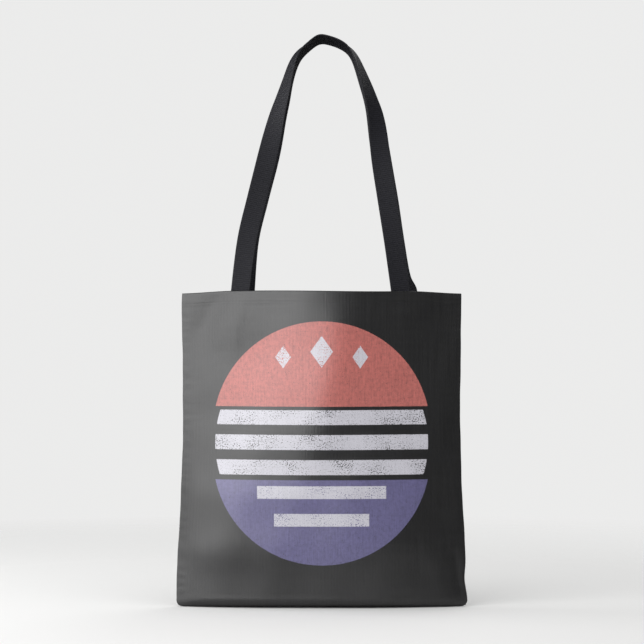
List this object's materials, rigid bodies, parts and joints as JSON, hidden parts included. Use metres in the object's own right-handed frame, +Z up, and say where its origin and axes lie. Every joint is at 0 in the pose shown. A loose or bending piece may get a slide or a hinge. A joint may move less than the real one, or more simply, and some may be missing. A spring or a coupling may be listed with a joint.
{
  "type": "tote bag",
  "caption": "Flat fabric tote bag with an open mouth, sewn side and bottom seams, and long webbing shoulder straps that fold down outside.",
  "frame": {"origin": "on the floor under the middle of the bag", "axes": "+Z up through the crests of the straps, -Y out of the printed front, +X to the right seen from the front"},
  "size_m": [0.3808, 0.0966, 0.7462],
  "materials": {
    "front_cloth": "matte woven poplin, charcoal, with a worn two-colour round print",
    "back_cloth": "matte woven poplin, charcoal",
    "webbing": "black cotton webbing, ribbed weave",
    "thread": "black polyester sewing thread",
    "label": "white satin ribbon, blank"
  },
  "bodies": {
    "bag": {"front_panel": "front_cloth", "back_panel": "back_cloth", "front_strap_ends": "webbing", "back_strap_ends": "webbing", "front_hem_thread": "thread", "front_left_box_stitch": "thread", "front_right_box_stitch": "thread", "back_hem_thread": "thread", "back_left_box_stitch": "thread", "back_right_box_stitch": "thread", "left_seam_thread": "thread", "left_overlock": "thread", "bottom_seam_thread": "thread", "bottom_overlock": "thread", "right_seam_thread": "thread", "right_overlock": "thread"},
    "front_strap": {"front_strap": "webbing"},
    "back_strap": {"back_strap": "webbing"},
    "care_label": {"care_label": "label"}
  },
  "joints": [
    {"name": "front_strap_swing", "type": "hinge", "parent": "bag", "child": "front_strap", "pos_m": [0, -0.031, 0.4135], "axis": [1, 0, 0], "range_deg": [0, 172]},
    {"name": "back_strap_swing", "type": "hinge", "parent": "bag", "child": "back_strap", "pos_m": [0, 0.031, 0.4135], "axis": [-1, 0, 0], "range_deg": [0, 172]},
    {"name": "care_label_flap", "type": "hinge", "parent": "bag", "child": "care_label", "pos_m": [-0.17575, 0, 0.082], "axis": [0, 0, 1], "range_deg": [-14, 14]}
  ]
}
